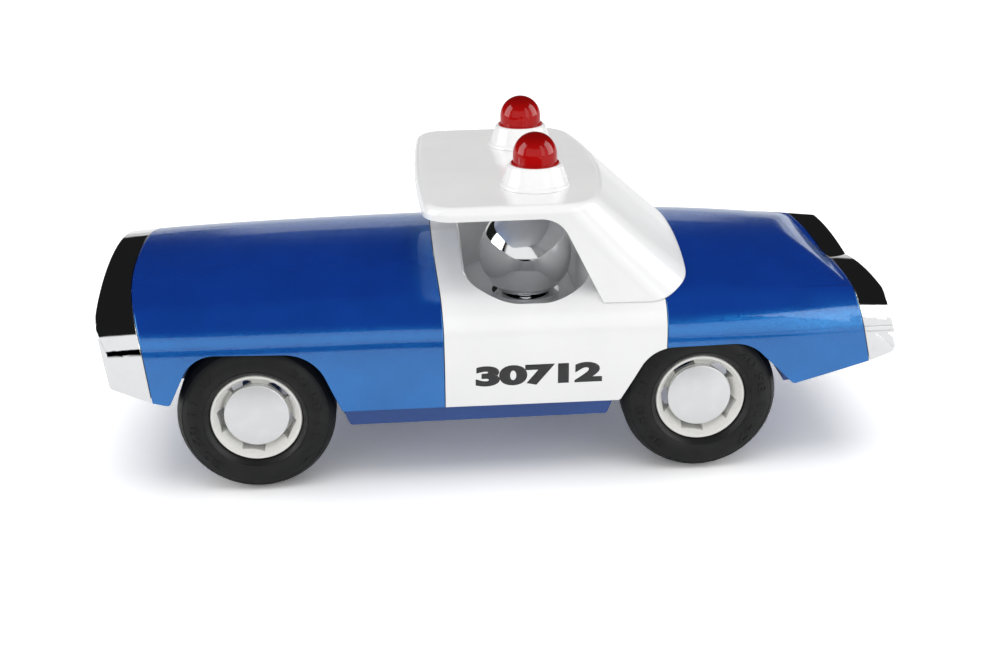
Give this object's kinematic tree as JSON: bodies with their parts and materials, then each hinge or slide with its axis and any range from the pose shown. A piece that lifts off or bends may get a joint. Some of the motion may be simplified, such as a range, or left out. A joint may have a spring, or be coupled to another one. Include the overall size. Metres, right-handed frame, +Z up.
{
  "type": "toy police patrol car",
  "caption": "Push-along toy patrol car with a rounded bonnet, finned tail, cantilevered roof with domed beacons, a ball-headed driver and free-rolling rubber-tyred wheels.",
  "frame": {"origin": "on the floor below the middle of the car's overall length and width", "axes": "+X towards the nose, +Y towards the car's left side, +Z up"},
  "size_m": [0.2959, 0.1212, 0.1278],
  "materials": {
    "blue_paint": "deep metallic blue gloss lacquer",
    "white_paint": "gloss white",
    "chrome_plating": "bright plated plastic",
    "underbody_plastic": "dark blue moulded plastic",
    "red_lens": "translucent red",
    "tyre_rubber": "satin black rubber",
    "rim_plastic": "satin off-white",
    "cap_metal": "satin light grey",
    "axle_steel": "drawn steel"
  },
  "bodies": {
    "car": {"chassis": "underbody_plastic", "nose_trim": "chrome_plating", "bonnet_body": "blue_paint", "door_body": "white_paint", "tail_body": "blue_paint", "tail_trim": "chrome_plating", "roof": "white_paint", "driver_head": "chrome_plating", "driver_collar": "chrome_plating", "beacon_base_left": "white_paint", "beacon_base_right": "white_paint", "beacon_lens_left": "red_lens", "beacon_lens_right": "red_lens"},
    "front_wheelset": {"front_axle": "axle_steel", "front_tyre_left": "tyre_rubber", "front_tyre_right": "tyre_rubber", "front_rim_left": "rim_plastic", "front_rim_right": "rim_plastic", "front_cap_left": "cap_metal", "front_cap_right": "cap_metal"},
    "rear_wheelset": {"rear_axle": "axle_steel", "rear_tyre_left": "tyre_rubber", "rear_tyre_right": "tyre_rubber", "rear_rim_left": "rim_plastic", "rear_rim_right": "rim_plastic", "rear_cap_left": "cap_metal", "rear_cap_right": "cap_metal"}
  },
  "joints": [
    {"name": "front_axle_spin", "type": "hinge", "parent": "car", "child": "front_wheelset", "pos_m": [0.0925, 0, 0.0294], "axis": [0, 1, 0], "continuous": true},
    {"name": "rear_axle_spin", "type": "hinge", "parent": "car", "child": "rear_wheelset", "pos_m": [-0.0742, 0, 0.0294], "axis": [0, 1, 0], "continuous": true}
  ]
}
